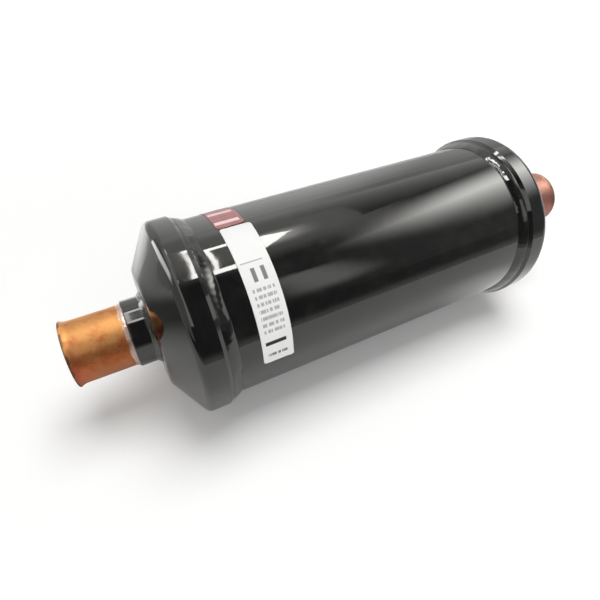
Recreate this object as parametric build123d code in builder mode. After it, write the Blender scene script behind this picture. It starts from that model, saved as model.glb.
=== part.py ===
from build123d import *
from math import atan2, cos, pi, radians, sin, tan
import os

# Hermetic solid-core filter drier with copper solder sockets.
# It lies on its side: its axis runs along X, with the inlet at -X and the outlet at +X. +Z is up, and
# the origin is on the resting surface, below the middle of the shell. All sizes are in millimetres.

os.makedirs("parts", exist_ok=True)

# ---- Driving dimensions --------------------------------------------------------------------------

# Pressure shell
shell_diameter = 76.2  # 3 inch tube
shell_wall = 1.6
body_length = 167.4  # between the shoulders, where each cover's skirt turns into its cone

# End covers, deep drawn, slipped over the shell and welded round their lips
cover_wall = 2.8
cover_fit = 0.15  # radial gap between skirt and shell
skirt_length = 10.1  # shoulder corner to lip
lip_bevel_length = 1.5
lip_bevel_height = 1.0
shoulder_round = 3.5  # on the outside; the inside is smaller by the wall
cone_rise = 10.1  # shoulder corner to flat face
face_radius = 24.2
face_round = 5.0  # on the outside
shell_end_gap = 1.2  # shell's end to the inner corner of the cover
seam_weld_length = 4.6
seam_weld_crown = 0.3

# Steel neck sleeves, welded into the covers
neck_wall = 1.1
neck_fit = 0.05  # radial gap to the hole in the cover
neck_length = 8.4  # stands out of the flat face
neck_inside = 1.5  # stands into the vessel
neck_edge_round = 0.5
neck_weld_leg = 1.8

# Copper stubs with a solder socket
tube_diameter = 22.225  # the 7/8 inch tube that each socket takes
socket_clearance = 0.085  # radial
socket_depth = 20.0  # tube stop to the start of the bell
stub_wall = 1.45  # round the socket
stub_reach = 31.6  # flat face to mouth
stub_stop_height = 1.2  # radial step that stops the tube
braze_gap = 0.05  # radial gap between stub and neck
bell_length = 3.2
bell_growth = 1.1  # radial
rim_round = 0.4
braze_leg_along = 1.6
braze_leg_out = 0.6
bead_hollow = 0.12  # how far a corner bead's face dips below its chord, as a share of its legs

# Labels on the shell; angles are in degrees from the top, towards -Y
label_thickness = 0.12
rating_label_inset = 23.3  # from the inlet shoulder
rating_label_width = 12.6
rating_label_start = 3.4
rating_label_sweep = 88.6
header_label_inset = 22.6
header_label_width = 11.6
header_label_sweep = 56.0
label_gap_angle = 1.2

# Desiccant core and what holds it, from the outlet end to the inlet end
stack_gap = 0.02  # between faces that rest on each other
inner_fit = 0.2  # radial gap of discs and rings in the shell
support_ring_wall = 2.4
support_ring_length = 5.0
plate_thickness = 1.5
plate_hole_radius = 1.5
plate_hole_distance = 6.4  # from circle to circle
plate_hole_circles = 4
pad_thickness = 5.0
gasket_thickness = 3.0
gasket_bore_radius = 22.0
core_gap = 4.5  # flow passage between core and shell
core_length = 132.0
core_bore_radius = 9.5
core_floor = 16.0  # closed part at the inlet end
core_bevel = 2.0
spring_plate_thickness = 1.2
spring_plate_gap = 3.0  # radial, to the shell
spring_plate_notches = 8
spring_plate_notch_radius = 4.0
spring_boss_height = 3.0
spring_wire_width = 2.4  # radial, flat wire
spring_wire_thickness = 1.6
spring_radius = 18.0  # to the middle of the wire
spring_turns = 4
spring_boss_fit = 0.8  # radial gap between the boss and the inside of the spring

# ---- Places that follow from them ----------------------------------------------------------------

shell_radius = shell_diameter / 2
shell_bore_radius = shell_radius - shell_wall
skirt_bore_radius = shell_radius + cover_fit
skirt_radius = skirt_bore_radius + cover_wall
axis_height = skirt_radius  # both skirts rest on the surface

# Distances along the axis, from the middle of the drier
shoulder_x = body_length / 2
face_x = shoulder_x + cone_rise
lip_x = shoulder_x - skirt_length
cone_angle = atan2(skirt_radius - face_radius, cone_rise)  # between the cone's side and the axis
inner_shoulder_x = shoulder_x - cover_wall * tan(cone_angle / 2)
inner_face_x = face_x - cover_wall
inner_face_radius = face_radius - cover_wall * tan((pi / 2 - cone_angle) / 2)
shell_end_x = inner_shoulder_x - shell_end_gap

socket_radius = tube_diameter / 2 + socket_clearance
stub_bore_radius = socket_radius - stub_stop_height
stub_radius = socket_radius + stub_wall
neck_bore_radius = stub_radius + braze_gap
neck_radius = neck_bore_radius + neck_wall
neck_end_x = face_x + neck_length
neck_inner_x = inner_face_x - neck_inside
mouth_x = face_x + stub_reach
bell_x = mouth_x - bell_length
stop_x = bell_x - socket_depth

disc_radius = shell_bore_radius - inner_fit
core_radius = shell_bore_radius - core_gap
spring_plate_radius = shell_bore_radius - spring_plate_gap
ring_outer_x = inner_shoulder_x + (skirt_bore_radius - disc_radius) / tan(cone_angle) - stack_gap
ring_inner_x = ring_outer_x - support_ring_length
plate_back_x = ring_inner_x - stack_gap
plate_front_x = plate_back_x - plate_thickness
pad_front_x = plate_front_x - stack_gap - pad_thickness
gasket_front_x = pad_front_x - stack_gap - gasket_thickness
core_outlet_x = gasket_front_x - stack_gap
core_inlet_x = core_outlet_x - core_length
spring_plate_x = core_inlet_x - stack_gap - spring_plate_thickness

shell_axis = Axis((0, 0, axis_height), (1, 0, 0))


def section_plane(angle=0):
    """Plane through the axis with local x along +X and local y radial, at an angle from the top."""
    radial_y, radial_z = -sin(radians(angle)), cos(radians(angle))
    return Plane(origin=(0, 0, axis_height), x_dir=(1, 0, 0), z_dir=(0, -radial_z, radial_y))


def cross_plane(x):
    """Plane square to the axis at x, facing +X."""
    return Plane(origin=(x, 0, axis_height), x_dir=(0, 1, 0), z_dir=(1, 0, 0))


def ring_section(x_a, x_b, inner_radius, outer_radius):
    """Rectangle between two places along the axis and two radii, for a sketch on a section plane."""
    with Locations(((x_a + x_b) / 2, (inner_radius + outer_radius) / 2)):
        return Rectangle(abs(x_b - x_a), outer_radius - inner_radius)


def write(piece, name):
    piece.part.label = name
    export_step(piece.part, f"parts/{name}.step")


# ---- Pressure shell ------------------------------------------------------------------------------

with BuildPart() as shell:
    with BuildSketch(section_plane()):
        ring_section(-shell_end_x, shell_end_x, shell_bore_radius, shell_radius)
    revolve(axis=shell_axis)
write(shell, "shell")


# ---- Covers, necks, stubs and their joints: one set at each end ----------------------------------
# side is -1 at the inlet and +1 at the outlet.


def make_end_cover(side):
    """Flat face, cone, rounded shoulder and a skirt that ends in a bevelled lip."""
    with BuildPart() as end_cover:
        with BuildSketch(section_plane()):
            with BuildLine():
                crown = FilletPolyline(
                    (side * face_x, 0),
                    (side * face_x, face_radius),
                    (side * shoulder_x, skirt_radius),
                    (side * (lip_x + lip_bevel_length), skirt_radius),
                    radius=[face_round, shoulder_round],
                )
                Polyline(
                    crown @ 1,
                    (side * lip_x, skirt_radius - lip_bevel_height),
                    (side * lip_x, 0),
                    crown @ 0,
                )
            make_face()
        revolve(axis=shell_axis)
        with BuildSketch(section_plane()):
            with BuildLine():
                hollow = FilletPolyline(
                    (side * inner_face_x, 0),
                    (side * inner_face_x, inner_face_radius),
                    (side * inner_shoulder_x, skirt_bore_radius),
                    (side * lip_x, skirt_bore_radius),
                    radius=[face_round - cover_wall, shoulder_round - cover_wall],
                )
                Polyline(hollow @ 1, (side * lip_x, 0), hollow @ 0)
            make_face()
            ring_section(side * lip_x, side * face_x, 0, neck_radius + neck_fit)
        revolve(axis=shell_axis, mode=Mode.SUBTRACT)
    return end_cover


def make_seam_weld(side):
    """Weld bead that fills the step from the skirt's lip down to the shell."""
    lip_top = skirt_radius - lip_bevel_height
    toe_x = lip_x - seam_weld_length
    with BuildPart() as seam_weld:
        with BuildSketch(section_plane()):
            with BuildLine():
                ThreePointArc(
                    (side * lip_x, lip_top),
                    (side * (lip_x + toe_x) / 2, (lip_top + shell_radius) / 2 + seam_weld_crown),
                    (side * toe_x, shell_radius),
                )
                Polyline(
                    (side * toe_x, shell_radius),
                    (side * lip_x, shell_radius),
                    (side * lip_x, lip_top),
                )
            make_face()
        revolve(axis=shell_axis)
    return seam_weld


def make_neck(side):
    """Steel sleeve that carries the copper stub through the cover."""
    with BuildPart() as neck:
        with BuildSketch(section_plane()) as section:
            ring_section(side * neck_inner_x, side * neck_end_x, neck_bore_radius, neck_radius)
            end_corners = section.vertices().sort_by(Axis.X, reverse=side > 0)[:2]
            fillet(end_corners.sort_by(Axis.Y)[-1], radius=neck_edge_round)
        revolve(axis=shell_axis)
    return neck


def make_corner_bead(side, corner_x, corner_radius, leg_along, leg_out):
    """Hollow-faced bead in the corner between a flat face and the tube that comes out of it."""
    with BuildPart() as bead:
        with BuildSketch(section_plane()):
            with BuildLine():
                foot = (side * corner_x, corner_radius)
                top = (side * corner_x, corner_radius + leg_out)
                toe = (side * (corner_x + leg_along), corner_radius)
                half = 0.5 - bead_hollow
                middle = (side * (corner_x + leg_along * half), corner_radius + leg_out * half)
                ThreePointArc(top, middle, toe)
                Polyline(toe, foot, top)
            make_face()
        revolve(axis=shell_axis)
    return bead


def make_stub(side):
    """Copper tube with a tube stop, a parallel socket and a belled mouth."""
    with BuildPart() as stub:
        with BuildSketch(section_plane()) as section:
            with BuildLine():
                outer_bell = TangentArc(
                    (side * bell_x, stub_radius),
                    (side * mouth_x, stub_radius + bell_growth),
                    tangent=(side, 0),
                )
                inner_bell = TangentArc(
                    (side * bell_x, socket_radius),
                    (side * mouth_x, socket_radius + bell_growth),
                    tangent=(side, 0),
                )
                Line(outer_bell @ 1, inner_bell @ 1)
                Polyline(
                    inner_bell @ 0,
                    (side * stop_x, socket_radius),
                    (side * stop_x, stub_bore_radius),
                    (side * neck_inner_x, stub_bore_radius),
                    (side * neck_inner_x, stub_radius),
                    outer_bell @ 0,
                )
            make_face()
            rim = section.vertices().sort_by(Axis.X, reverse=side > 0)[:2]
            fillet(rim, radius=rim_round)
        revolve(axis=shell_axis)
    return stub


for end, side in (("inlet", -1), ("outlet", 1)):
    write(make_end_cover(side), f"{end}_end_cover")
    write(make_seam_weld(side), f"{end}_seam_weld")
    write(make_neck(side), f"{end}_neck")
    write(make_corner_bead(side, face_x, neck_radius, neck_weld_leg, neck_weld_leg), f"{end}_neck_weld")
    write(make_stub(side), f"{end}_copper_stub")
    write(
        make_corner_bead(side, neck_end_x, stub_radius, braze_leg_along, braze_leg_out),
        f"{end}_braze_ring",
    )


# ---- Labels --------------------------------------------------------------------------------------


def make_label(inset, width, start_angle, sweep_angle):
    """Foil bent round the shell: inset from the inlet shoulder, angles from the top towards -Y."""
    near_x = -shoulder_x + inset
    with BuildPart() as foil:
        with BuildSketch(section_plane(start_angle)):
            ring_section(near_x, near_x + width, shell_radius, shell_radius + label_thickness)
        revolve(axis=shell_axis, revolution_arc=sweep_angle)
    return foil


rating_label = make_label(
    rating_label_inset, rating_label_width, rating_label_start, rating_label_sweep
)
write(rating_label, "rating_label")

header_label = make_label(
    header_label_inset,
    header_label_width,
    rating_label_start - label_gap_angle - header_label_sweep,
    header_label_sweep,
)
write(header_label, "header_label")


# ---- Core and its supports -----------------------------------------------------------------------

# Ring that bears on the inside of the outlet cover's cone
with BuildPart() as support_ring:
    with BuildSketch(section_plane()):
        ring_section(ring_inner_x, ring_outer_x, disc_radius - support_ring_wall, disc_radius)
    revolve(axis=shell_axis)
write(support_ring, "support_ring")

# Pressed plate with circles of holes and a flange round the pad
with BuildPart() as perforated_plate:
    with BuildSketch(section_plane()):
        ring_section(plate_front_x, plate_back_x, 0, disc_radius)
        ring_section(pad_front_x, plate_back_x, disc_radius - plate_thickness, disc_radius)
    revolve(axis=shell_axis)
    with BuildSketch(cross_plane(plate_front_x)):
        Circle(plate_hole_radius)
        for circle in range(1, plate_hole_circles + 1):
            with PolarLocations(circle * plate_hole_distance, 6 * circle):
                Circle(plate_hole_radius)
    extrude(amount=plate_thickness, mode=Mode.SUBTRACT)
write(perforated_plate, "perforated_plate")

# Fibre pad in the plate's flange
with BuildPart() as filter_pad:
    with BuildSketch(cross_plane(pad_front_x)):
        Circle(disc_radius - plate_thickness - inner_fit)
    extrude(amount=pad_thickness)
write(filter_pad, "filter_pad")

# Felt ring that seals the core's outlet end to the shell
with BuildPart() as core_gasket:
    with BuildSketch(cross_plane(gasket_front_x)):
        Circle(disc_radius)
        Circle(gasket_bore_radius, mode=Mode.SUBTRACT)
    extrude(amount=gasket_thickness)
write(core_gasket, "core_gasket")

# Moulded desiccant block with a blind bore that opens to the outlet
with BuildPart() as desiccant_core:
    with BuildSketch(section_plane()) as core_section:
        ring_section(core_inlet_x, core_outlet_x, 0, core_radius)
        rim_corners = core_section.vertices().group_by(Axis.Y)[-1]
        chamfer(rim_corners, length=core_bevel)
    revolve(axis=shell_axis)
    with BuildSketch(cross_plane(core_outlet_x)):
        Circle(core_bore_radius)
    extrude(amount=core_floor - core_length, mode=Mode.SUBTRACT)
write(desiccant_core, "desiccant_core")

# Notched plate that spreads the spring's load, with a boss that centres the spring
with BuildPart() as spring_plate:
    with BuildSketch(cross_plane(spring_plate_x)):
        Circle(spring_plate_radius)
        with PolarLocations(spring_plate_radius, spring_plate_notches):
            Circle(spring_plate_notch_radius, mode=Mode.SUBTRACT)
    extrude(amount=spring_plate_thickness)
    with BuildSketch(cross_plane(spring_plate_x)):
        Circle(spring_radius - spring_wire_width / 2 - spring_boss_fit)
    extrude(amount=-spring_boss_height)
    boss_edge = spring_plate.edges().sort_by(Axis.X)[0]
    fillet(boss_edge, radius=spring_plate_thickness)
write(spring_plate, "spring_plate")

# Flat-wire compression spring between the inlet cover's face and the spring plate
spring_start_x = -inner_face_x + stack_gap + spring_wire_thickness / 2
spring_height = spring_plate_x - stack_gap - spring_wire_thickness / 2 - spring_start_x
with BuildPart() as core_spring:
    with BuildLine() as spring_line:
        Helix(
            pitch=spring_height / spring_turns,
            height=spring_height,
            radius=spring_radius,
            center=(spring_start_x, 0, axis_height),
            direction=(1, 0, 0),
        )
    with BuildSketch(Plane(spring_line.line @ 0, x_dir=(1, 0, 0), z_dir=spring_line.line % 0)):
        Rectangle(spring_wire_thickness, spring_wire_width)
    sweep(path=spring_line.line, is_frenet=True)
write(core_spring, "core_spring")
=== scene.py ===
from collections import namedtuple
import math
import random

import bpy
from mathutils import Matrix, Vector, noise


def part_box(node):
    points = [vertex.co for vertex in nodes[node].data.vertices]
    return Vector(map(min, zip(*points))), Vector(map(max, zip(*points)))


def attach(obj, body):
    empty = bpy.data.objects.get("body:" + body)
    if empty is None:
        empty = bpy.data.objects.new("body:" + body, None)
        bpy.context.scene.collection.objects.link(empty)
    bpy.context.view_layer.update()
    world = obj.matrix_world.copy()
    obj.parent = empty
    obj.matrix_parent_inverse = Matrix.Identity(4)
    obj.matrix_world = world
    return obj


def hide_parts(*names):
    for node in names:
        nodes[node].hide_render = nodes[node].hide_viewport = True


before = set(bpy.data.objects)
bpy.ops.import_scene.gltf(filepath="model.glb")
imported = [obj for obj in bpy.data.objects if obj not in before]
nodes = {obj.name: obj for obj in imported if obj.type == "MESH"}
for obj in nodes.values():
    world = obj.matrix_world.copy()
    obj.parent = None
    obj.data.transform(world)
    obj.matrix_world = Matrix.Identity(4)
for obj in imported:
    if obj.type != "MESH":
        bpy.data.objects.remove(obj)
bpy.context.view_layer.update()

# Filter drier: glossy black steel vessel with copper stubs, on a pale floor.
# Lengths are metres in the frame of the CAD part: its axis runs along X, the inlet is at -X and the
# labels face -Y. Angles round the axis are degrees from the top, towards -Y.

MM = 0.001

AXIS_Z = sum(corner.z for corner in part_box("inlet_end_cover")) / 2
SHELL_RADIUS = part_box("shell")[1].z - AXIS_Z


# ---- Camera --------------------------------------------------------------------------------------

CAMERA_AIM = Vector((-32.44 * MM, -14.05 * MM, AXIS_Z))
CAMERA_DISTANCE = 196.8 * MM
CAMERA_AZIMUTH = math.radians(27.56)  # of the line of sight, from +Y towards +X
CAMERA_DOWN = math.radians(43.52)
CAMERA_LENS_MM = 27.206
CAMERA_SENSOR_MM = 36.0
CAMERA_CLIP_START = 10 * MM


def make_camera():
    """Camera above the front of the inlet, so near that the outlet looks much smaller."""
    sight = Vector((
        math.sin(CAMERA_AZIMUTH) * math.cos(CAMERA_DOWN),
        math.cos(CAMERA_AZIMUTH) * math.cos(CAMERA_DOWN),
        -math.sin(CAMERA_DOWN),
    ))
    lens = bpy.data.cameras.new("camera")
    lens.sensor_width = CAMERA_SENSOR_MM
    lens.lens = CAMERA_LENS_MM
    lens.clip_start = CAMERA_CLIP_START
    camera = bpy.data.objects.new("camera", lens)
    camera.location = CAMERA_AIM - sight * CAMERA_DISTANCE
    camera.rotation_euler = sight.to_track_quat("-Z", "Y").to_euler()
    bpy.context.scene.collection.objects.link(camera)
    bpy.context.scene.camera = camera


# ---- Meshes --------------------------------------------------------------------------------------


def new_object(name, points, faces, material, smooth=True):
    """Mesh object in the scene, with one material."""
    mesh = bpy.data.meshes.new(name)
    mesh.from_pydata(points, [], faces)
    mesh.materials.append(material)
    mesh.update()
    if smooth:
        mesh.shade_smooth()
    made = bpy.data.objects.new(name, mesh)
    bpy.context.scene.collection.objects.link(made)
    return made


def replace_node(name, node, points, faces):
    """Detailed piece in place of a CAD node, with the finish of that node's slot."""
    slot = nodes[node].data.materials[0].name
    piece = new_object(name, points, faces, FINISHES[slot])
    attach(piece, "root")
    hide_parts(node)


def on_shell(x, degrees, radius):
    """Point at a place along the axis, an angle round it and a distance from it."""
    turn = math.radians(degrees)
    return Vector((x, -math.sin(turn) * radius, AXIS_Z + math.cos(turn) * radius))


# ---- Shader building -----------------------------------------------------------------------------


class Shader:
    """A material with its Principled shader, and short calls that add nodes to it."""

    def __init__(self, name, **sockets):
        self.material = bpy.data.materials.new(name)
        self.material.use_nodes = True
        self.tree = self.material.node_tree
        self.surface = self.tree.nodes["Principled BSDF"]
        for socket, value in sockets.items():
            self.surface.inputs[socket.replace("_", " ")].default_value = value
        self.place = self.node("ShaderNodeTexCoord").outputs["Object"]

    def node(self, kind, **settings):
        made = self.tree.nodes.new(kind)
        for setting, value in settings.items():
            setattr(made, setting, value)
        return made

    def feed(self, socket, value):
        """Links an output to a socket, or sets the socket to a constant."""
        if isinstance(value, bpy.types.NodeSocket):
            self.tree.links.new(value, socket)
        else:
            socket.default_value = value

    def paint(self, socket, value):
        """Feeds one of the Principled shader's own sockets."""
        self.feed(self.surface.inputs[socket], value)

    def math(self, operation, first, second=0.0, clamp=False):
        made = self.node("ShaderNodeMath", operation=operation, use_clamp=clamp)
        self.feed(made.inputs[0], first)
        self.feed(made.inputs[1], second)
        return made.outputs[0]

    def noise(self, size, detail=2.0, roughness=0.5, stretch=(1.0, 1.0, 1.0)):
        """Noise from 0 to 1 whose features measure about size, in metres, divided by stretch."""
        scaled = self.node("ShaderNodeMapping")
        self.feed(scaled.inputs["Vector"], self.place)
        scaled.inputs["Scale"].default_value = stretch
        made = self.node("ShaderNodeTexNoise")
        self.feed(made.inputs["Vector"], scaled.outputs[0])
        made.inputs["Scale"].default_value = 1.0 / size
        made.inputs["Detail"].default_value = detail
        made.inputs["Roughness"].default_value = roughness
        return made.outputs["Fac"]

    def map_range(self, kind, *given):
        made = self.node("ShaderNodeMapRange", interpolation_type=kind)
        for socket, value in zip(made.inputs, given):
            self.feed(socket, value)
        return made.outputs[0]

    def span(self, value, low, high, out_low=0.0, out_high=1.0):
        """Smooth step from out_low at low to out_high at high."""
        return self.map_range("SMOOTHSTEP", value, low, high, out_low, out_high)

    def ramp(self, value, low, high, out_low=0.0, out_high=1.0):
        """Straight slope from out_low at low to out_high at high."""
        return self.map_range("LINEAR", value, low, high, out_low, out_high)

    def field(self, value, low, high, edge):
        """1 between low and high, 0 outside, with edges that are soft over edge."""
        rise = self.span(value, low - edge, low + edge)
        fall = self.span(value, high - edge, high + edge, 1.0, 0.0)
        return self.math("MULTIPLY", rise, fall)

    def mix(self, factor, first, second):
        """Colour between first and second."""
        made = self.node("ShaderNodeMix", data_type="RGBA")
        self.feed(made.inputs["Factor"], factor)
        self.feed(made.inputs["A"], first)
        self.feed(made.inputs["B"], second)
        return made.outputs["Result"]

    def bump(self, height, distance, below=None):
        """Bump whose height, from 0 to 1, stands for distance in metres."""
        made = self.node("ShaderNodeBump")
        made.inputs["Distance"].default_value = distance
        self.feed(made.inputs["Height"], height)
        if below is not None:
            self.feed(made.inputs["Normal"], below)
        return made.outputs[0]

    def round_shell(self):
        """Place along the axis in millimetres, and the angle round it in degrees."""
        parts = self.node("ShaderNodeSeparateXYZ")
        self.feed(parts.inputs[0], self.place)
        along = self.math("MULTIPLY", parts.outputs["X"], 1 / MM)
        back = self.math("MULTIPLY", parts.outputs["Y"], -1.0)
        up = self.math("SUBTRACT", parts.outputs["Z"], AXIS_Z)
        turn = self.math("ARCTAN2", back, up)
        return along, self.math("MULTIPLY", turn, math.degrees(1.0))


def rgb(red, green, blue):
    return (red, green, blue, 1.0)


# ---- Black enamel --------------------------------------------------------------------------------

# A cover holds the noise values between which something sets in.

ENAMEL_CLEAN = rgb(0.004, 0.004, 0.0043)
ENAMEL_DUSTY = rgb(0.011, 0.0105, 0.0095)
ENAMEL_SHINE = rgb(1.0, 0.99, 0.93)
ENAMEL_ROUGHNESS = (0.04, 0.09)  # clean and smeared
DUST_SIZE, DUST_COVER = 9 * MM, (0.42, 0.75)
SMEAR_SIZE, SMEAR_COVER = 14 * MM, (0.3, 0.75)
PEEL_SIZE, PEEL_HEIGHT = 1.6 * MM, 0.0018 * MM
FLOW_SIZE, FLOW_HEIGHT = 7 * MM, 0.014 * MM


def make_enamel():
    """Glossy black enamel with a faint orange peel, slow waves and a little handling dust."""
    enamel = Shader("black_enamel", IOR=1.7, Coat_Weight=0.5, Coat_Roughness=0.03, Coat_IOR=1.5,
                    Specular_Tint=ENAMEL_SHINE)
    dust = enamel.span(enamel.noise(DUST_SIZE, detail=5.0, roughness=0.6), *DUST_COVER)
    enamel.paint("Base Color", enamel.mix(dust, ENAMEL_CLEAN, ENAMEL_DUSTY))
    smear = enamel.noise(SMEAR_SIZE, detail=3.0)
    enamel.paint("Roughness", enamel.span(smear, *SMEAR_COVER, *ENAMEL_ROUGHNESS))
    peel = enamel.bump(enamel.noise(PEEL_SIZE), PEEL_HEIGHT)
    flow = enamel.bump(enamel.noise(FLOW_SIZE), FLOW_HEIGHT, below=peel)
    enamel.paint("Normal", flow)
    enamel.paint("Coat Normal", flow)
    return enamel.material


# ---- Copper --------------------------------------------------------------------------------------

COPPER_MOUTH_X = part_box("outlet_copper_stub")[1].x
COPPER_BRIGHT = rgb(0.8, 0.39, 0.135)
# tarnish colour, also painted over each tube's lower front side as shade
COPPER_TARNISH_AND_SHADE = rgb(0.56, 0.16, 0.055)
COPPER_PALE = rgb(0.62, 0.3, 0.16)
COPPER_FLUSHED = rgb(0.66, 0.16, 0.09)
COPPER_HEATED = rgb(0.52, 0.28, 0.25)
COPPER_FLECKED = rgb(0.3, 0.14, 0.08)
COPPER_OXIDE = rgb(0.17, 0.1, 0.07)

# Parts of a tube's side as angles between which they lie, and the softness of their ends
# painted shade: the front and underside of each tube, darkened towards the tarnish colour
SHADED_SIDE = (57.0, 150.0, 36.0)
PALE_SIDE = (95.0, 150.0, 20.0)
FLUSHED_SIDE = (45.0, 155.0, 20.0)

CLOUD_SIZE, TARNISH_AND_SHADE_COVER = 6 * MM, (0.42, 0.85)
SIDE_SHADE = 0.3  # painted shade, added to the tarnish clouds' noise on the tube's front and underside
PALE_STRENGTH = 0.7
FLUSH_REACH, FLUSH_STRAY = 9.0, 3.0  # of the torch's red from the mouth, in millimetres
FLUSH_STRENGTH, FLUSH_COVER = 0.6, (0.3, 0.7)
OUTLET_HALF = (-1.0, 1.0)  # places along the axis over which it begins, in millimetres
HEAT_TINT = 0.75  # how far the outlet's stub has turned pink
FLECK_SIZE, FLECK_COVER, FLECK_STRENGTH = 1.3 * MM, (0.62, 0.74), 0.45
OXIDE_SIZE, OXIDE_COVER = 4 * MM, (0.35, 0.65)
OXIDE_WIDTH, OXIDE_EDGE = (0.3, 0.9), 0.4  # of the dark ring at a tube's mouth, in millimetres
OXIDE_STRENGTH = 0.9
LINE_SIZE, LINE_COVER, LINE_HEIGHT = 0.5 * MM, (0.2, 0.8), 0.012 * MM
ALONG_TUBE = (0.03, 1.0, 1.0)  # stretch that draws noise out into lines
COPPER_ROUGHNESS = (0.38, 0.46)
TARNISH_AND_SHADE_ROUGHNESS = 0.1  # added where the tarnish and the painted shade lie
DENT_SIZE, DENT_HEIGHT = 5 * MM, 0.12 * MM


def add_heat_marks(copper, skin, along, turn, cloud):
    """Colour of a tube after the torch: a red flush on one side of its mouth, a pinker outlet,
    dark flecks and an oxidised ring."""
    from_mouth = copper.math("SUBTRACT", COPPER_MOUTH_X / MM, copper.math("ABSOLUTE", along))
    stray = copper.span(cloud, *FLUSH_COVER, -FLUSH_STRAY, FLUSH_STRAY)
    near = copper.span(copper.math("ADD", from_mouth, stray), 0.0, FLUSH_REACH, FLUSH_STRENGTH, 0.0)
    flush = copper.math("MULTIPLY", near, copper.field(turn, *FLUSHED_SIDE))
    skin = copper.mix(flush, skin, COPPER_FLUSHED)
    heated = copper.span(along, *OUTLET_HALF, 0.0, HEAT_TINT)
    skin = copper.mix(heated, skin, COPPER_HEATED)
    flecks = copper.noise(FLECK_SIZE, detail=4.0, roughness=0.7)
    flecked = copper.span(flecks, *FLECK_COVER, 0.0, FLECK_STRENGTH)
    skin = copper.mix(flecked, skin, COPPER_FLECKED)
    width = copper.span(copper.noise(OXIDE_SIZE), *OXIDE_COVER, *OXIDE_WIDTH)
    behind = copper.math("SUBTRACT", from_mouth, width)
    ring = copper.span(behind, -OXIDE_EDGE, OXIDE_EDGE, OXIDE_STRENGTH, 0.0)
    return copper.mix(ring, skin, COPPER_OXIDE)


def make_copper():
    """Drawn copper tube with fine lines along it, dents, tarnish, painted shade on its lower side
    and a torch-heated mouth.
    """
    copper = Shader("drawn_copper", Metallic=1.0)
    along, turn = copper.round_shell()
    cloud = copper.noise(CLOUD_SIZE, detail=6.0, roughness=0.65)
    # painted shade: the lower front side pushed towards the tarnish colour, on top of the tarnish
    # clouds
    painted_shade = copper.math("MULTIPLY", copper.field(turn, *SHADED_SIDE), SIDE_SHADE)
    tarnish_and_shade = copper.span(copper.math("ADD", cloud, painted_shade), *TARNISH_AND_SHADE_COVER)
    skin = copper.mix(tarnish_and_shade, COPPER_BRIGHT, COPPER_TARNISH_AND_SHADE)
    pale = copper.math("MULTIPLY", copper.field(turn, *PALE_SIDE), PALE_STRENGTH)
    skin = copper.mix(pale, skin, COPPER_PALE)
    copper.paint("Base Color", add_heat_marks(copper, skin, along, turn, cloud))
    lines = copper.noise(LINE_SIZE, detail=3.0, stretch=ALONG_TUBE)
    dull = copper.math("ADD", copper.span(lines, *LINE_COVER, *COPPER_ROUGHNESS),
                       copper.math("MULTIPLY", tarnish_and_shade, TARNISH_AND_SHADE_ROUGHNESS))
    copper.paint("Roughness", dull)
    drawn = copper.bump(lines, LINE_HEIGHT)
    copper.paint("Normal", copper.bump(copper.noise(DENT_SIZE), DENT_HEIGHT, below=drawn))
    return copper.material


# ---- Other metals and the filling ----------------------------------------------------------------

BRAZE_PINK, BRAZE_GREY = rgb(0.86, 0.6, 0.48), rgb(0.6, 0.46, 0.4)
BRAZE_ROUGHNESS = (0.24, 0.4)
BLOTCH_SIZE, BLOTCH_COVER = 2 * MM, (0.35, 0.65)
RUN_SIZE, RUN_HEIGHT = 1.2 * MM, 0.05 * MM


def make_braze():
    """Silver braze that has run, pinkish where it wets the copper."""
    braze = Shader("silver_braze", Metallic=1.0)
    blotch = braze.span(braze.noise(BLOTCH_SIZE, detail=4.0), *BLOTCH_COVER)
    braze.paint("Base Color", braze.mix(blotch, BRAZE_PINK, BRAZE_GREY))
    braze.paint("Roughness", braze.span(blotch, 0.0, 1.0, *BRAZE_ROUGHNESS))
    braze.paint("Normal", braze.bump(braze.noise(RUN_SIZE, detail=3.0), RUN_HEIGHT))
    return braze.material


STEEL_CLEAN, STEEL_STAINED = rgb(0.6, 0.6, 0.62), rgb(0.43, 0.43, 0.44)
STEEL_ROUGHNESS = (0.25, 0.4)
STAIN_SIZE, STAIN_COVER = 8 * MM, (0.35, 0.7)
GRAIN_SIZE, GRAIN_COVER, GRAIN_HEIGHT = 0.6 * MM, (0.3, 0.7), 0.01 * MM
ROLLED = (1.0, 0.1, 1.0)  # stretch that draws the grain out along Y


def make_steel():
    """Bare sheet steel with a rolled grain and a few duller stains."""
    steel = Shader("bare_steel", Metallic=1.0)
    stain = steel.span(steel.noise(STAIN_SIZE, detail=4.0), *STAIN_COVER)
    steel.paint("Base Color", steel.mix(stain, STEEL_CLEAN, STEEL_STAINED))
    grain = steel.noise(GRAIN_SIZE, detail=3.0, stretch=ROLLED)
    steel.paint("Roughness", steel.span(grain, *GRAIN_COVER, *STEEL_ROUGHNESS))
    steel.paint("Normal", steel.bump(grain, GRAIN_HEIGHT))
    return steel.material


def make_matte(name, light, dark, size, height):
    """Dull granular or fibrous stuff: desiccant, felt or pad."""
    stuff = Shader(name, Roughness=0.95)
    grain = stuff.noise(size, detail=6.0, roughness=0.7)
    stuff.paint("Base Color", stuff.mix(stuff.span(grain, *GRAIN_COVER), rgb(*dark), rgb(*light)))
    stuff.paint("Normal", stuff.bump(grain, height))
    return stuff.material
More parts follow.
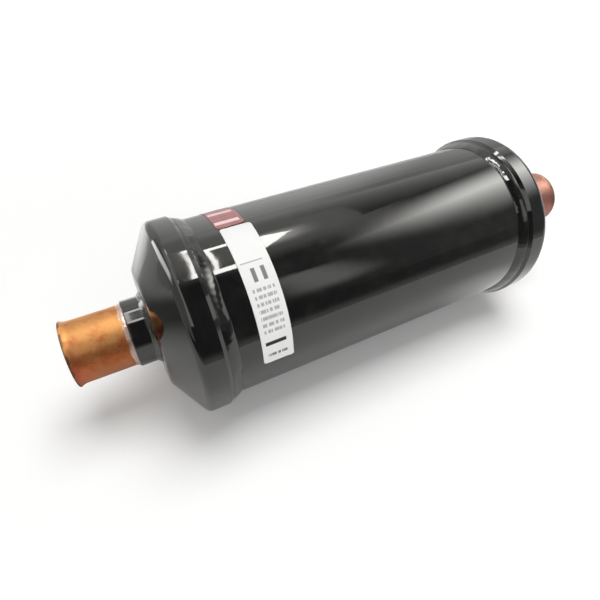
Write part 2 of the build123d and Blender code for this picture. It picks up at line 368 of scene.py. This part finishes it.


# ---- Print on the labels, and painted shade along a fold -----------------------------------------

# Spans are places across a label in millimetres from its inlet edge, and turns are angles
PRINT_EDGE = 0.12  # softness of printed edges across, in millimetres
PRINT_EDGE_TURN = 0.2  # and round the shell, in degrees
BAR_SPAN, BAR_TURN = (1.6, 10.0), (76.5, 78.9)
MARK_SPANS, MARK_TURN = ((3.9, 5.5), (7.7, 9.3)), (33.5, 41.5)
# painted shade: a grey line where the film is folded
FOLD_SHADE_SPAN, FOLD_SHADE_TURN = (1.2, 9.8), (29.5, 30.2)
TEXT_SPAN, TEXT_TURN = (2.0, 10.6), (45.0, 72.0)
CODE_SPAN, CODE_TURN = (2.1, 10.3), (84.8, 89.0)
TEXT_PITCH = 4.0  # degrees from line to line
LINE_FILL, LINE_FILL_EDGE = (0.25, 0.75), 0.06  # share of the pitch that a line takes up
DASH_LENGTH, DASH_COVER = 0.9, (0.44, 0.5)  # length in millimetres
TEXT_SEED, CODE_SEED = 3.0, 9.0
INK, FADED_INK, TEXT_INK_AND_FOLD_SHADE = rgb(0.02, 0.02, 0.022), rgb(0.2, 0.2, 0.21), rgb(0.42, 0.41, 0.42)
PAPER_SHADED, PAPER_CLEAN, PAPER_PATCH = rgb(0.8, 0.8, 0.785), rgb(0.85, 0.85, 0.84), 5 * MM
STRIPE_SPAN, STRIPE_TURNS = (0.5, 10.4), ((-18.6, -14.6), (-4.4, -1.2))
RED_DEEP, RED_WORN, RED_PATCH = rgb(0.28, 0.09, 0.09), rgb(0.46, 0.2, 0.19), 3 * MM
STRIPE_PINK = rgb(0.85, 0.6, 0.6)
CREASE_SIZE, CREASE_HEIGHT = 4 * MM, 0.1 * MM
CREASES_ROUND = (1.0, 0.5, 0.5)  # stretch that draws the white film's creases out round the shell


def dashes(label, across, turn, seed):
    """Generic dashes that stand for lines of small print: 1 on ink."""
    line = label.math("DIVIDE", turn, TEXT_PITCH)
    row = label.math("FLOOR", line)
    within = label.math("SUBTRACT", line, row)
    joined = label.node("ShaderNodeCombineXYZ")
    label.feed(joined.inputs["X"], label.math("DIVIDE", across, DASH_LENGTH))
    label.feed(joined.inputs["Y"], label.math("ADD", row, seed))
    dash = label.node("ShaderNodeTexNoise")
    label.feed(dash.inputs["Vector"], joined.outputs[0])
    dash.inputs["Scale"].default_value = 1.0
    dash.inputs["Detail"].default_value = 1.0
    inked = label.span(dash.outputs["Fac"], *DASH_COVER)
    return label.math("MULTIPLY", inked, label.field(within, *LINE_FILL, LINE_FILL_EDGE))


def patch(label, across, turn, span, arc):
    """1 inside a rectangle on a label, for print, the header's stripes and the painted shade along
    a fold.
    """
    wide = label.field(across, *span, PRINT_EDGE)
    return label.math("MULTIPLY", wide, label.field(turn, *arc, PRINT_EDGE_TURN))


def make_rating_label():
    """White film with a black bar, two marks, a grey line painted as shade along its fold, and
    lines of dashes.
    """
    label = Shader("white_label_film", Roughness=0.45, Specular_IOR_Level=0.3)
    along, turn = label.round_shell()
    across = label.math("SUBTRACT", along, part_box("rating_label")[0].x / MM)
    skin = label.mix(label.noise(PAPER_PATCH), PAPER_SHADED, PAPER_CLEAN)
    for span, arc, seed, ink in ((TEXT_SPAN, TEXT_TURN, TEXT_SEED, TEXT_INK_AND_FOLD_SHADE),
                                 (CODE_SPAN, CODE_TURN, CODE_SEED, FADED_INK)):
        text = label.math("MULTIPLY", dashes(label, across, turn, seed),
                          patch(label, across, turn, span, arc))
        skin = label.mix(text, skin, ink)
    # painted shade along the film's fold, in the grey of the text
    skin = label.mix(patch(label, across, turn, FOLD_SHADE_SPAN, FOLD_SHADE_TURN), skin, TEXT_INK_AND_FOLD_SHADE)
    for span in MARK_SPANS:
        skin = label.mix(patch(label, across, turn, span, MARK_TURN), skin, FADED_INK)
    skin = label.mix(patch(label, across, turn, BAR_SPAN, BAR_TURN), skin, INK)
    label.paint("Base Color", skin)
    creases = label.noise(CREASE_SIZE, detail=3.0, stretch=CREASES_ROUND)
    label.paint("Normal", label.bump(creases, CREASE_HEIGHT))
    return label.material


def make_header_label():
    """Red film with pale stripes along the shell."""
    label = Shader("red_label_film", Roughness=0.28)
    along, turn = label.round_shell()
    across = label.math("SUBTRACT", along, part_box("header_label")[0].x / MM)
    skin = label.mix(label.noise(RED_PATCH, detail=4.0), RED_DEEP, RED_WORN)
    for arc in STRIPE_TURNS:
        skin = label.mix(patch(label, across, turn, STRIPE_SPAN, arc), skin, STRIPE_PINK)
    label.paint("Base Color", skin)
    label.paint("Normal", label.bump(label.noise(CREASE_SIZE, detail=3.0), CREASE_HEIGHT))
    return label.material


# ---- Label films ---------------------------------------------------------------------------------

FILM_RADIUS = -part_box("rating_label")[0].y  # outer face of the CAD labels
FILM_STEP = 0.35 * MM  # grid of a label's mesh
FILM_THICKNESS = 0.1 * MM
CORNER_RADIUS = 1.3 * MM
BUBBLES = 9
BUBBLE_HEIGHT = 0.07 * MM
BUBBLE_SIZE = (0.7 * MM, 1.6 * MM)
CURL_REACH = 3.5 * MM
FOLD_HEIGHT = 0.12 * MM
FOLD_HALF_WIDTH = 0.5 * MM

# Lifted corners: the side and end of the label that each is at, 0 or 1, and its height
RATING_CURLS = ((1, 1, 0.5 * MM), (0, 0, 0.25 * MM))
HEADER_CURLS = ((1, 1, 0.3 * MM),)
HEADER_FOLD = -11.0
RATING_SEED, HEADER_SEED = 4, 7


def bell(distance, width):
    return math.exp(-((distance / width) ** 2))


def corner_inset(distance_to_end):
    """How far a rounded corner pulls the side edge in, at a distance from the label's end."""
    if distance_to_end >= CORNER_RADIUS:
        return 0.0
    drop = CORNER_RADIUS - distance_to_end
    return CORNER_RADIUS - math.sqrt(CORNER_RADIUS ** 2 - drop ** 2)


def film_lift(width, arc, fold, curls, seed):
    """Function that says how far a film stands off the shell, at a place on it.
    fold is the crease's distance from the film's start."""
    chance = random.Random(seed)
    bubbles = [(chance.uniform(0, width), chance.uniform(0, arc), chance.uniform(*BUBBLE_SIZE))
               for _ in range(BUBBLES)]

    def lift(u, v):
        rise = FOLD_HEIGHT * bell(v - fold, FOLD_HALF_WIDTH)
        for bubble_u, bubble_v, size in bubbles:
            rise += BUBBLE_HEIGHT * bell(math.dist((u, v), (bubble_u, bubble_v)), size)
        for side, tip, height in curls:
            away = math.dist((u, v), (width * side, arc * tip))
            rise += height * max(0.0, 1 - away / CURL_REACH) ** 2
        return rise

    return lift


def film_faces(across, round_it):
    """Faces of a film's two skins and of the edge between them, for grids of that many cells."""
    row = across + 1
    sheet = row * (round_it + 1)
    faces = []
    for j in range(round_it):
        for i in range(across):
            a = j * row + i
            faces.append((a, a + row, a + row + 1, a + 1))
            faces.append((sheet + a, sheet + a + 1, sheet + a + row + 1, sheet + a + row))
    rim = list(range(row))
    rim += [j * row + across for j in range(1, round_it + 1)]
    rim += [round_it * row + i for i in range(across - 1, -1, -1)]
    rim += [j * row for j in range(round_it - 1, 0, -1)]
    for a, b in zip(rim, rim[1:] + rim[:1]):
        faces.append((a, b, sheet + b, sheet + a))
    return faces


def make_film(name, node, start, end, fold, curls, seed):
    """Label film laid on the shell between two angles, with bubbles, a fold and lifted corners."""
    low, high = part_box(node)
    width, arc = high.x - low.x, math.radians(end - start) * SHELL_RADIUS
    across, round_it = round(width / FILM_STEP), round(arc / FILM_STEP)
    lift = film_lift(width, arc, math.radians(fold - start) * SHELL_RADIUS, curls, seed)
    points = []
    for skin in (FILM_RADIUS, FILM_RADIUS - FILM_THICKNESS):
        for j in range(round_it + 1):
            v = arc * j / round_it
            turn = start + math.degrees(v / SHELL_RADIUS)
            inset = corner_inset(min(v, arc - v))
            for i in range(across + 1):
                u = inset + (width - 2 * inset) * i / across
                points.append(on_shell(low.x + u, turn, skin + lift(u, v)))
    replace_node(name, node, points, film_faces(across, round_it))


def make_labels():
    """The white film over the front of the shell and the red one over its top."""
    low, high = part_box("rating_label")
    start = math.degrees(math.asin(-high.y / SHELL_RADIUS))
    end = math.degrees(math.acos((low.z - AXIS_Z) / FILM_RADIUS))
    fold = sum(FOLD_SHADE_TURN) / 2
    make_film("rating_film", "rating_label", start, end, fold, RATING_CURLS, RATING_SEED)
    low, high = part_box("header_label")
    start = math.degrees(math.asin(-high.y / FILM_RADIUS))
    end = math.degrees(math.asin(-low.y / FILM_RADIUS))
    make_film("header_film", "header_label", start, end, HEADER_FOLD, HEADER_CURLS, HEADER_SEED)


# ---- Weld beads and braze fillets ----------------------------------------------------------------

STUB_RADIUS = 12.65 * MM  # outside of the copper tubes, where the braze ends

# Steps of the mesh round the axis, ripples and their height, height of the face's crown, which
# is negative where the face is hollow, and how far the toe strays along the axis
Bead = namedtuple("Bead", "steps ripples ripple_height crown wander")
SEAM_BEAD = Bead(768, 96, 0.014 * MM, 0.3 * MM, 0.6 * MM)
NECK_BEAD = Bead(352, 44, 0.025 * MM, -0.1 * MM, 0.4 * MM)
BRAZE_FILLET = Bead(352, 7, 0.05 * MM, -0.08 * MM, 0.6 * MM)
FACE_STEPS = 12  # across a bead's face
BURIED = 0.02 * MM  # a bead's root below the surface that it sits on
SWELL = 0.5  # how much the crown varies
SWELL_PACE, WANDER_PACE = 9.0, 3.5  # how fast crown and toe vary round the axis
NOISE_SHIFT = 100.0  # of the noise per metre along the axis, so that no two beads are alike


def bead_section(foot_x, toe_x, foot_radius, toe_radius, bead):
    """Outline of a rippled bead, as a function of the turn round the axis in radians.
    It runs from its foot against the higher wall to its toe."""
    out = math.copysign(1.0, toe_x - foot_x)
    shift = foot_x * NOISE_SHIFT

    def section(turn):
        way = Vector((math.cos(turn), math.sin(turn), 0.0))
        stray = out * bead.wander * noise.noise(way * WANDER_PACE + Vector((shift, 0.0, 0.0)))
        swell = 1.0 + SWELL * noise.noise(way * SWELL_PACE + Vector((0.0, 0.0, shift)))
        outline = []
        for i in range(FACE_STEPS + 1):
            v = i / FACE_STEPS
            arch = math.sin(math.pi * v)
            lag = (2 * v - 1) ** 2 * math.pi / 2
            ripple = bead.ripple_height * swell ** 2 * math.cos(bead.ripples * turn + lag)
            outline.append((foot_x + (toe_x - foot_x + stray) * v,
                            foot_radius + (toe_radius - foot_radius) * v
                            + (bead.crown * swell + ripple) * arch))
        outline.append((toe_x + stray, toe_radius - BURIED))
        outline.append((foot_x, toe_radius - BURIED))
        return outline if out > 0 else outline[::-1]

    return section


def make_bead(name, node, bead, toe_radius, toe_outside):
    """Closed rippled ring in place of a CAD bead. Its foot is at the top of the CAD bead, and its
    toe is nearer to the end of the drier, if toe_outside, or to the middle."""
    low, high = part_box(node)
    foot_x, toe_x = sorted((low.x, high.x), key=abs, reverse=not toe_outside)
    section = bead_section(foot_x, toe_x, high.z - AXIS_Z, toe_radius, bead)
    outlines = [section(2 * math.pi * k / bead.steps) for k in range(bead.steps)]
    count = len(outlines[0])
    points = [on_shell(x, 360.0 * k / bead.steps, radius)
              for k, outline in enumerate(outlines) for x, radius in outline]
    faces = []
    for k in range(bead.steps):
        here, there = k * count, (k + 1) % bead.steps * count
        for i in range(count):
            j = (i + 1) % count
            faces.append((here + i, here + j, there + j, there + i))
    replace_node(name, node, points, faces)


def make_beads():
    """The welds and braze fillets of both ends, with ripples and uneven toes."""
    for end in ("inlet", "outlet"):
        neck_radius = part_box(f"{end}_neck")[1].z - AXIS_Z
        make_bead(f"{end}_seam_bead", f"{end}_seam_weld", SEAM_BEAD, SHELL_RADIUS, False)
        make_bead(f"{end}_neck_bead", f"{end}_neck_weld", NECK_BEAD, neck_radius, True)
        make_bead(f"{end}_braze_fillet", f"{end}_braze_ring", BRAZE_FILLET, STUB_RADIUS, True)


# ---- World and floor -----------------------------------------------------------------------------

WORLD_FILL = 0.38  # how strongly the white surroundings light dull surfaces


def make_world():
    """White surroundings: white for the camera and gloss, softer as a light."""
    world = bpy.data.worlds.new("studio")
    world.use_nodes = True
    bpy.context.scene.world = world
    tree = world.node_tree
    path = tree.nodes.new("ShaderNodeLightPath")
    strength = tree.nodes.new("ShaderNodeMapRange")
    tree.links.new(path.outputs["Is Diffuse Ray"], strength.inputs["Value"])
    strength.inputs["To Min"].default_value = 1.0
    strength.inputs["To Max"].default_value = WORLD_FILL
    sky = tree.nodes["Background"]
    sky.inputs["Color"].default_value = rgb(1.0, 1.0, 1.0)
    tree.links.new(strength.outputs[0], sky.inputs["Strength"])


FLOOR_HALF = 3.0
FLOOR_TONE = rgb(0.95, 0.95, 0.94)
FLOOR_LIFT = 0.1  # added for the camera, so that the lit floor is white
FLOOR_FAR_LIFT = 0.7  # beyond the lamps' reach
FLOOR_FADE = (0.2, 0.9)  # distances between which the one turns into the other
GLOSS_SHADE = 0.66  # how much darker gloss sees the floor
GLOSS_LIFT = 0.07
BRIGHT_SPOTS = (  # seen in gloss behind the inlet and before the outlet: centre, reach, strength
    ((-0.16, 0.225, 0.0), (0.03, 0.14), 0.75),
    ((0.092, -0.042, 0.0), (0.01, 0.05), 0.35),
)
DARK_SPOT = (-0.335, 0.08, 0.0)  # seen in gloss beside the inlet
DARK_SPOT_REACH = (0.05, 0.19)
DARK_SPOT_SHADE = 0.22


def make_floor():
    """Pale floor, white where it is lit; gloss sees it greyer, with bright and dark spots."""
    floor = Shader("floor", Roughness=1.0, Specular_IOR_Level=0.0,
                   Emission_Color=rgb(1.0, 1.0, 1.0))

    def distance(centre):
        away = floor.node("ShaderNodeVectorMath", operation="DISTANCE")
        floor.feed(away.inputs[0], floor.place)
        away.inputs[1].default_value = centre
        return away.outputs["Value"]

    path = floor.node("ShaderNodeLightPath")
    gloss = path.outputs["Is Glossy Ray"]
    shade = floor.span(distance(DARK_SPOT), *DARK_SPOT_REACH, DARK_SPOT_SHADE, 1.0)
    grey = floor.math("MULTIPLY", shade, GLOSS_SHADE)
    in_gloss = floor.mix(grey, rgb(0.0, 0.0, 0.0), FLOOR_TONE)
    floor.paint("Base Color", floor.mix(gloss, FLOOR_TONE, in_gloss))
    lift = floor.span(distance((0.0, 0.0, 0.0)), *FLOOR_FADE, FLOOR_LIFT, FLOOR_FAR_LIFT)
    glow = floor.math("MULTIPLY", shade, GLOSS_LIFT)
    for centre, reach, strength in BRIGHT_SPOTS:
        glow = floor.math("ADD", glow, floor.span(distance(centre), *reach, strength, 0.0))
    added = floor.math("ADD", floor.math("MULTIPLY", path.outputs["Is Camera Ray"], lift),
                       floor.math("MULTIPLY", gloss, glow))
    floor.paint("Emission Strength", added)
    corners = [(-1, -1), (1, -1), (1, 1), (-1, 1)]
    points = [(x * FLOOR_HALF, y * FLOOR_HALF, 0.0) for x, y in corners]
    new_object("floor", points, [(0, 1, 2, 3)], floor.material, smooth=False)


# ---- Cards that gloss sees -----------------------------------------------------------------------


def make_card(name, points, shine):
    """Flat card round the object that only gloss sees: a lamp's face or something dark.
    shine is how bright it is: a number, or shine(glow, x, y, z) that gives it for a place."""
    glow = Shader(name)
    if callable(shine):
        place = glow.node("ShaderNodeSeparateXYZ")
        glow.feed(place.inputs[0], glow.place)
        shine = shine(glow, *place.outputs)
    emission = glow.node("ShaderNodeEmission")
    glow.feed(emission.inputs["Strength"], shine)
    output = glow.tree.nodes["Material Output"]
    glow.tree.nodes.remove(glow.surface)
    glow.tree.links.new(emission.outputs[0], output.inputs["Surface"])
    card = new_object(name, points, [tuple(range(len(points)))], glow.material, smooth=False)
    card.visible_camera = False
    card.visible_shadow = False
    card.visible_diffuse = False
    card.visible_transmission = False


def facing_x(x, low_y, high_y, low_z, high_z):
    """Corners of an upright card that faces along X."""
    return [(x, low_y, low_z), (x, high_y, low_z), (x, high_y, high_z), (x, low_y, high_z)]


def facing_y(y, low_x, high_x, low_z, high_z):
    """Corners of an upright card that faces along Y."""
    return [(low_x, y, low_z), (high_x, y, low_z), (high_x, y, high_z), (low_x, y, high_z)]


def facing_down(z, low_x, high_x, low_y, high_y):
    """Corners of a card that lies flat."""
    return [(low_x, low_y, z), (high_x, low_y, z), (high_x, high_y, z), (low_x, high_y, z)]


ROOM_X, ROOM_Y = 2.0, 1.0  # the studio reaches this far from the drier
ROOM_LEFT_X = -0.8  # except beside the inlet
WALL_TOP_Z = 1.5
DARK, DIM = 0.05, 0.17  # tones of the dark parts on the inlet's side and on the outlet's
DIM_X = (0.0, 0.4)
CEILING_LEFT_X, CEILING_BACK_Y, CEILING_Z = -0.15, 0.55, 0.62
CEILING_FADE = (0.1, 0.55)  # places along Y over which it goes from dark to white
CEILING_GLOW = 0.7  # near the windows; it fades to the right and to the front
CEILING_GLOW_X = (0.2, 0.4)
CEILING_GLOW_Y = (-0.25, 0.05)
FRONT_STEP_Y, FRONT_STEP_TOP_Z = -0.22, 0.09  # low card along the front of the floor
FRONT_STEP_TONE, FRONT_STEP_DARK_Z = 0.4, 0.045  # at the floor, and height where it is dark
FRONT_GLOW = 0.95  # pale spot in the dark front
FRONT_GLOW_X, FRONT_GLOW_Z = (0.1, 0.22), (0.2, 0.5)
FRONT_GLOW_CARD = (-0.4, 0.0, 0.34, 0.09, 0.6)  # its Y and its reaches along X and Z
GLOW_EDGE = 0.07
BACK_WALL = 0.62
BACK_GLOW = 0.45  # added to it where the back light shines
BACK_GLOW_X = (0.0, 0.7)
BACK_GLOW_EDGE = 0.25
BACK_LOW_Z, BACK_LOW_SHADE = 0.5, 0.75  # it is darker below this height
LEFT_WALL = 0.4


def dark(glow, x, _y, _z):
    """Tone of the studio's dark parts."""
    return glow.span(x, *DIM_X, DARK, DIM)


def ceiling(glow, x, y, z):
    """Dark in front, white at the back and grey near the windows."""
    near = glow.math("MULTIPLY", glow.span(x, *CEILING_GLOW_X, CEILING_GLOW, 0.0),
                     glow.span(y, *CEILING_GLOW_Y))
    return glow.math("MAXIMUM", glow.ramp(y, *CEILING_FADE, dark(glow, x, y, z), 1.0), near)


def front_step(glow, x, y, z):
    return glow.span(z, 0.0, FRONT_STEP_DARK_Z, FRONT_STEP_TONE, dark(glow, x, y, z))


def front_glow(glow, x, y, z):
    spot = glow.math("MULTIPLY", glow.field(x, *FRONT_GLOW_X, GLOW_EDGE),
                     glow.field(z, *FRONT_GLOW_Z, GLOW_EDGE))
    return glow.span(spot, 0.0, 1.0, dark(glow, x, y, z), FRONT_GLOW)


def back_wall(glow, x, _y, z):
    lit = glow.math("MULTIPLY", glow.field(x, *BACK_GLOW_X, BACK_GLOW_EDGE), BACK_GLOW)
    return glow.math("MULTIPLY", glow.math("ADD", lit, BACK_WALL),
                     glow.span(z, 0.0, BACK_LOW_Z, BACK_LOW_SHADE, 1.0))


def make_surroundings():
    """Ceiling, walls and floor edge of the studio, which give the paint its bands."""
    make_card("ceiling", facing_down(CEILING_Z, CEILING_LEFT_X, ROOM_X, -ROOM_Y, CEILING_BACK_Y),
              ceiling)
    make_card("front_wall", facing_y(-ROOM_Y, -ROOM_X, ROOM_X, 0.0, CEILING_Z), dark)
    make_card("front_step", facing_y(FRONT_STEP_Y, -ROOM_X, ROOM_X, 0.0, FRONT_STEP_TOP_Z),
              front_step)
    make_card("front_glow", facing_y(*FRONT_GLOW_CARD), front_glow)
    make_card("back_wall", facing_y(ROOM_Y, ROOM_LEFT_X, ROOM_X, 0.0, WALL_TOP_Z), back_wall)
    make_card("left_wall", facing_x(ROOM_LEFT_X, -ROOM_Y, ROOM_Y, 0.0, WALL_TOP_Z), LEFT_WALL)


# ---- Lamps' faces that gloss sees ----------------------------------------------------------------

LAMP_Z = 0.5
WINDOW_STRENGTH = 11.0
WINDOW_PANES = {  # reaches along X and Y
    "window_back": (-0.018, 0.064, 0.146, 0.176),
    "window_front": (-0.018, 0.064, -0.11, -0.07),
    "window_left": (-0.018, -0.012, -0.08, 0.146),
    "window_bar": (0.012, 0.019, -0.08, 0.146),
}

# The pane on the right has slanting sides: X and Y of its corners
WINDOW_RIGHT = ((0.064, -0.02), (0.088, 0.0), (0.135, 0.105), (0.095, 0.14), (0.064, 0.146))
WINDOW_GLOW = 3.0  # beside the windows, just above them
WINDOW_GLOW_CARD = (LAMP_Z + 0.01, 0.064, 0.25, -0.06, 0.24)  # its Z and its reaches along X and Y
WINDOW_GLOW_X, WINDOW_GLOW_Y, WINDOW_GLOW_EDGE = (0.09, 0.2), (0.02, 0.15), 0.05
INLET_PANE_STRENGTH = 5.0
INLET_PANES = {
    "inlet_pane_left": (-0.112, -0.104, -0.11, 0.26),
    "inlet_pane_right": (-0.084, -0.076, -0.11, 0.26),
    "inlet_pane_back": (-0.104, -0.084, 0.19, 0.26),
    "inlet_pane_front": (-0.104, -0.084, -0.11, -0.06),
}


def window_glow(glow, x, y, z):
    """Soft glow that fades to the right, and into the ceiling's tone."""
    spot = glow.math("MULTIPLY", glow.span(x, *WINDOW_GLOW_X, 1.0, 0.0),
                     glow.field(y, *WINDOW_GLOW_Y, WINDOW_GLOW_EDGE))
    return glow.span(spot, 0.0, 1.0, ceiling(glow, x, y, z), WINDOW_GLOW)


def make_windows():
    """Overhead window frames above the shell and the inlet's end."""
    for panes, strength in ((WINDOW_PANES, WINDOW_STRENGTH), (INLET_PANES, INLET_PANE_STRENGTH)):
        for name, reaches in panes.items():
            make_card(name, facing_down(LAMP_Z, *reaches), strength)
    make_card("window_right", [(x, y, LAMP_Z) for x, y in WINDOW_RIGHT], WINDOW_STRENGTH)
    make_card("window_glow", facing_down(*WINDOW_GLOW_CARD), window_glow)


SIDE_LAMP_STRENGTH = 4.0
SIDE_LAMP_CARD = (-0.5, -0.05, 0.73, 0.0, 0.75)  # its X and its reaches along Y and Z
SIDE_LAMP_Y = (0.06, 0.62)
SIDE_LAMP_MIDDLE = (0.43, 0.03)  # its height at those two places
SIDE_LAMP_REACH = (-0.15, 0.2)  # below and above its middle
SIDE_LAMP_EDGE = 0.08


def side_lamp(glow, _x, y, z):
    """Slanting lamp beside the inlet, which shows along the cover's shoulder."""
    off = glow.math("SUBTRACT", z, glow.ramp(y, *SIDE_LAMP_Y, *SIDE_LAMP_MIDDLE))
    spot = glow.math("MULTIPLY", glow.field(off, *SIDE_LAMP_REACH, SIDE_LAMP_EDGE),
                     glow.field(y, *SIDE_LAMP_Y, SIDE_LAMP_EDGE))
    return glow.span(spot, 0.0, 1.0, LEFT_WALL, SIDE_LAMP_STRENGTH)


SOFTBOX_STRENGTH = 4.8
SOFTBOX_CORNERS = ((0.17, -0.7), (0.9, -0.6), (0.9, 0.39), (0.17, -0.01))  # X and Y
SOFTBOX_X = (0.18, 0.46)  # it brightens between these
SOFTBOX_END = (0.6, 0.85)  # and fades between these
SOFTBOX_START, SOFTBOX_SLOPE = -0.345, 0.55  # its middle runs along y = start + slope * x
SOFTBOX_BACK = 0.24  # how far it reaches behind its middle
SOFTBOX_FRONT, SOFTBOX_FRONT_SLOPE = -0.2, 1.33  # and in front of it, as start and slope along x
SOFTBOX_FALL = 2.0  # power with which it fades to the front


def softbox(glow, x, y, z):
    """Long beam beyond the outlet that widens with the distance, on the ceiling's tone."""
    middle = glow.math("ADD", glow.math("MULTIPLY", x, SOFTBOX_SLOPE), SOFTBOX_START)
    off = glow.math("SUBTRACT", y, middle)
    back = glow.span(off, 0.0, SOFTBOX_BACK, 1.0, 0.0)
    reach = glow.math("ADD", glow.math("MULTIPLY", x, SOFTBOX_FRONT_SLOPE), SOFTBOX_FRONT)
    front = glow.math("ADD", 1.0, glow.math("DIVIDE", off, reach), clamp=True)
    beam = glow.math("MULTIPLY", back, glow.math("POWER", front, SOFTBOX_FALL))
    lit = glow.math("MULTIPLY", beam, glow.span(x, *SOFTBOX_X, 0.0, SOFTBOX_STRENGTH))
    lit = glow.math("MULTIPLY", lit, glow.span(x, *SOFTBOX_END, 1.0, 0.0))
    return glow.math("ADD", lit, ceiling(glow, x, y, z))


def make_softboxes():
    make_card("softbox", [(x, y, LAMP_Z) for x, y in SOFTBOX_CORNERS], softbox)
    make_card("side_lamp", facing_x(*SIDE_LAMP_CARD), side_lamp)


# ---- Lights on dull surfaces ---------------------------------------------------------------------

KEY_POWER, KEY_SIZE = 11.5, 0.8
KEY_PLACE = Vector((0.22, 0.04, 1.3))
FILL_POWER, FILL_SIZE = 2.0, 0.6
FILL_PLACE = Vector((-0.05, -0.9, 0.28))


def make_light(name, power, size, place):
    """Soft square lamp that shines at the vessel from its place; gloss doesn't see it."""
    light = bpy.data.lights.new(name, "AREA")
    light.energy = power
    light.size = size
    lamp = bpy.data.objects.new(name, light)
    lamp.location = place
    toward = Vector((place.x, 0.0, AXIS_Z)) - place
    lamp.rotation_euler = toward.to_track_quat("-Z", "Y").to_euler()
    lamp.visible_glossy = False
    bpy.context.scene.collection.objects.link(lamp)


# ---- Dressing the CAD nodes ----------------------------------------------------------------------

FINISHES = {
    "black_paint": make_enamel(),
    "copper": make_copper(),
    "braze_alloy": make_braze(),
    "white_foil": make_rating_label(),
    "red_foil": make_header_label(),
    "desiccant": make_matte("desiccant_block", light=(0.72, 0.68, 0.58), dark=(0.45, 0.41, 0.34),
                            size=0.8 * MM, height=0.25 * MM),
    "felt": make_matte("grey_felt", light=(0.5, 0.49, 0.46), dark=(0.3, 0.29, 0.28),
                       size=0.5 * MM, height=0.2 * MM),
    "polyester_pad": make_matte("white_pad", light=(0.85, 0.85, 0.84), dark=(0.6, 0.6, 0.6),
                                size=0.7 * MM, height=0.3 * MM),
    "bare_steel": make_steel(),
}


def dress_nodes():
    """Gives each CAD node the finish of its record slot."""
    for node in nodes.values():
        node.data.materials[0] = FINISHES[node.data.materials[0].name]


bpy.context.scene.view_settings.view_transform = "Standard"
make_camera()
make_world()
make_floor()
make_surroundings()
make_windows()
make_softboxes()
make_light("key", KEY_POWER, KEY_SIZE, KEY_PLACE)
make_light("fill", FILL_POWER, FILL_SIZE, FILL_PLACE)
make_labels()
make_beads()
dress_nodes()
